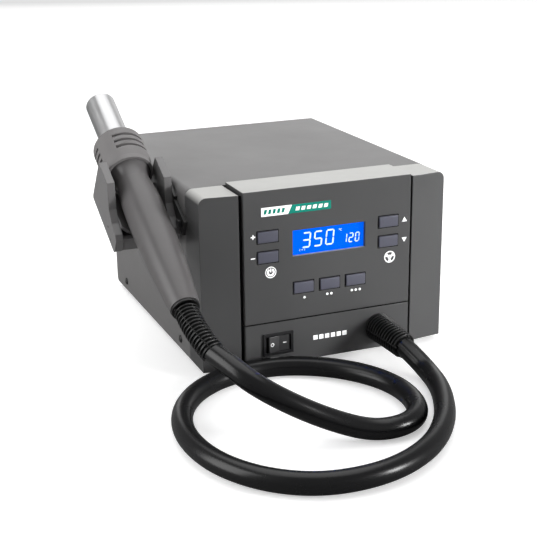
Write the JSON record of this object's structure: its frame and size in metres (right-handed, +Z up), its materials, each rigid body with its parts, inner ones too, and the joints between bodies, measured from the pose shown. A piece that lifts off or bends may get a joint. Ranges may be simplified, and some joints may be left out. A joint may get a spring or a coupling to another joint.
{
  "type": "hot air station",
  "caption": "Bench hot air rework station: box case with lit display and keys, a side fork that holds the hot air handle, and a hose from the front to the handle.",
  "frame": {"origin": "on the surface under the feet, below the middle of the station with its handle in the fork", "axes": "+Z up, +Y from the front towards the rear, +X to the right as seen from the front"},
  "size_m": [0.24, 0.4217, 0.1804],
  "materials": {
    "case_paint": "fine textured grey-brown powder coat",
    "front_plastic": "satin dark grey moulding",
    "key_plastic": "grey-violet",
    "display_window": "clear acrylic",
    "display": "blue backlit display",
    "circuit_board": "green solder mask",
    "black_plastic": "black",
    "badge": "white and green plate with no lettering",
    "zinc_steel": "zinc plated",
    "brass": "plain",
    "aluminium": "plain",
    "core_iron": "laminated and varnished",
    "copper": "enamelled copper",
    "rubber": "black",
    "hose": "smooth satin black hose",
    "fork_plastic": "dark grey",
    "handle_plastic": "satin dark warm grey",
    "cap_plastic": "fine matt warm grey",
    "barrel_steel": "polished stainless steel",
    "ceramic": "fired, unglazed",
    "mica": "mica sheet",
    "probe_steel": "plain",
    "fuse_glass": "glass tube"
  },
  "bodies": {
    "station": {"top_cover": "case_paint", "rear_panel": "case_paint", "base_pan": "case_paint", "holder_bracket": "case_paint", "front_bezel": "front_plastic", "control_panel": "front_plastic", "lower_panel": "front_plastic", "lcd_window": "display_window", "lcd_module": "display", "control_board": "circuit_board", "main_board": "circuit_board", "power_switch_body": "black_plastic", "tact_switches": "black_plastic", "mains_inlet": "black_plastic", "triac": "black_plastic", "air_duct": "black_plastic", "blower_housing_lower": "black_plastic", "blower_housing_upper": "black_plastic", "badge_plate": "badge", "board_screws": "zinc_steel", "foot_screws": "zinc_steel", "cover_screws": "zinc_steel", "rear_screws": "zinc_steel", "holder_magnet": "zinc_steel", "motor_bearings": "zinc_steel", "duct_clamp": "zinc_steel", "holder_screws": "zinc_steel", "board_standoffs": "brass", "heatsink": "aluminium", "blower_motor": "aluminium", "transformer_core": "core_iron", "transformer_coil": "copper", "feet": "rubber", "hose_boot": "rubber", "air_hose": "hose", "holder_yoke": "fork_plastic", "holder_saddle": "fork_plastic"},
    "key_plus": {"key_plus": "key_plastic"},
    "key_minus": {"key_minus": "key_plastic"},
    "key_up": {"key_up": "key_plastic"},
    "key_down": {"key_down": "key_plastic"},
    "key_preset_1": {"key_preset_1": "key_plastic"},
    "key_preset_2": {"key_preset_2": "key_plastic"},
    "key_preset_3": {"key_preset_3": "key_plastic"},
    "rocker": {"power_switch_rocker": "black_plastic"},
    "blower_rotor": {"impeller": "black_plastic", "motor_shaft": "zinc_steel"},
    "fuse_carrier": {"fuse_drawer": "black_plastic", "fuse": "fuse_glass"},
    "handle": {"handle_shell_upper": "handle_plastic", "handle_shell_lower": "handle_plastic", "handle_screws": "zinc_steel", "handle_nose": "cap_plastic", "heater_barrel": "barrel_steel", "mica_tube": "mica", "heater_core": "ceramic", "heater_coil": "copper", "thermocouple": "probe_steel", "handle_tail_ring": "rubber", "handle_boot": "rubber"}
  },
  "joints": [
    {"name": "key_plus_press", "type": "slide", "parent": "station", "child": "key_plus", "axis": [0, 1, 0], "range_m": [0, 0.0008], "stiffness_N_per_m": 600},
    {"name": "key_minus_press", "type": "slide", "parent": "station", "child": "key_minus", "axis": [0, 1, 0], "range_m": [0, 0.0008], "stiffness_N_per_m": 600},
    {"name": "key_up_press", "type": "slide", "parent": "station", "child": "key_up", "axis": [0, 1, 0], "range_m": [0, 0.0008], "stiffness_N_per_m": 600},
    {"name": "key_down_press", "type": "slide", "parent": "station", "child": "key_down", "axis": [0, 1, 0], "range_m": [0, 0.0008], "stiffness_N_per_m": 600},
    {"name": "key_preset_1_press", "type": "slide", "parent": "station", "child": "key_preset_1", "axis": [0, 1, 0], "range_m": [0, 0.0008], "stiffness_N_per_m": 600},
    {"name": "key_preset_2_press", "type": "slide", "parent": "station", "child": "key_preset_2", "axis": [0, 1, 0], "range_m": [0, 0.0008], "stiffness_N_per_m": 600},
    {"name": "key_preset_3_press", "type": "slide", "parent": "station", "child": "key_preset_3", "axis": [0, 1, 0], "range_m": [0, 0.0008], "stiffness_N_per_m": 600},
    {"name": "rocker_tilt", "type": "hinge", "parent": "station", "child": "rocker", "pos_m": [-0.0159, -0.0742, 0.0199], "axis": [0, 0, -1], "range_deg": [0, 16]},
    {"name": "blower_spin", "type": "hinge", "parent": "station", "child": "blower_rotor", "pos_m": [0.0637, 0.0436, 0.034], "axis": [0, 0, 1], "continuous": true},
    {"name": "fuse_drawer_slide", "type": "slide", "parent": "station", "child": "fuse_carrier", "axis": [0, 1, 0], "range_m": [0, 0.015]},
    {"name": "handle_lift", "type": "slide", "parent": "station", "child": "handle", "axis": [0, 0, 1], "range_m": [0, 0.06]}
  ]
}
